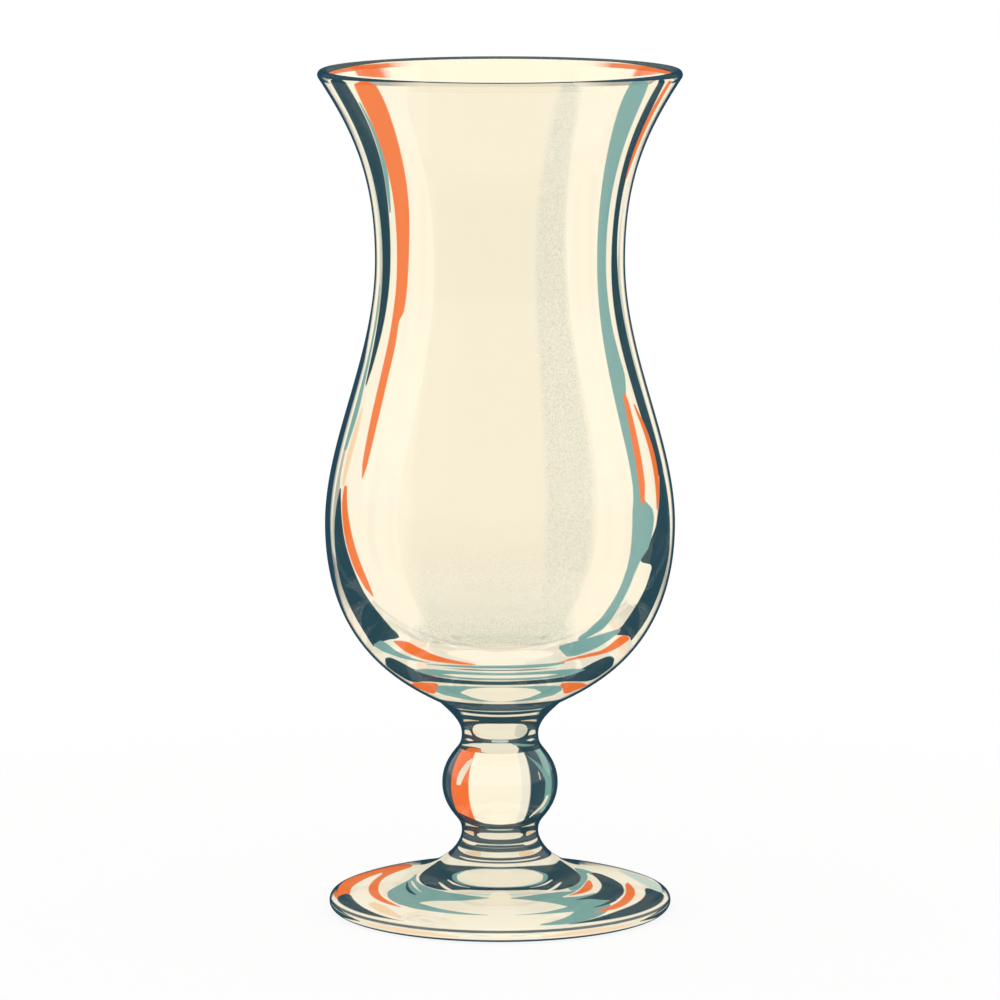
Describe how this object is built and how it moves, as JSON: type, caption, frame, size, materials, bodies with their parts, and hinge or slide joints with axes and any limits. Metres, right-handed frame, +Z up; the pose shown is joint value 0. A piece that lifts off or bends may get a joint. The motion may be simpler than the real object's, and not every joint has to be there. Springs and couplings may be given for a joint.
{
  "type": "hurricane glass",
  "caption": "Tall hurricane cocktail glass with a flared rim, a narrow waist and a rounded belly, on a short stem with a ball knop and a round, gently domed foot.",
  "frame": {"origin": "centre of the foot, on the plane it rests on", "axes": "+Z up along the axis of revolution; X and Y are any two directions across it"},
  "size_m": [0.0856, 0.0856, 0.2],
  "materials": {
    "bowl_glass": "clear blown glass, fire-polished, faint warm tint, deep blue-green where it is thick",
    "stem_glass": "clear solid glass, fire-polished, deep blue-green at its edges",
    "foot_glass": "clear pressed glass, fire-polished, faint warm tint"
  },
  "bodies": {
    "root": {"bowl": "bowl_glass", "upper_spool": "stem_glass", "knop": "stem_glass", "lower_spool": "stem_glass", "foot": "foot_glass"}
  },
  "joints": []
}
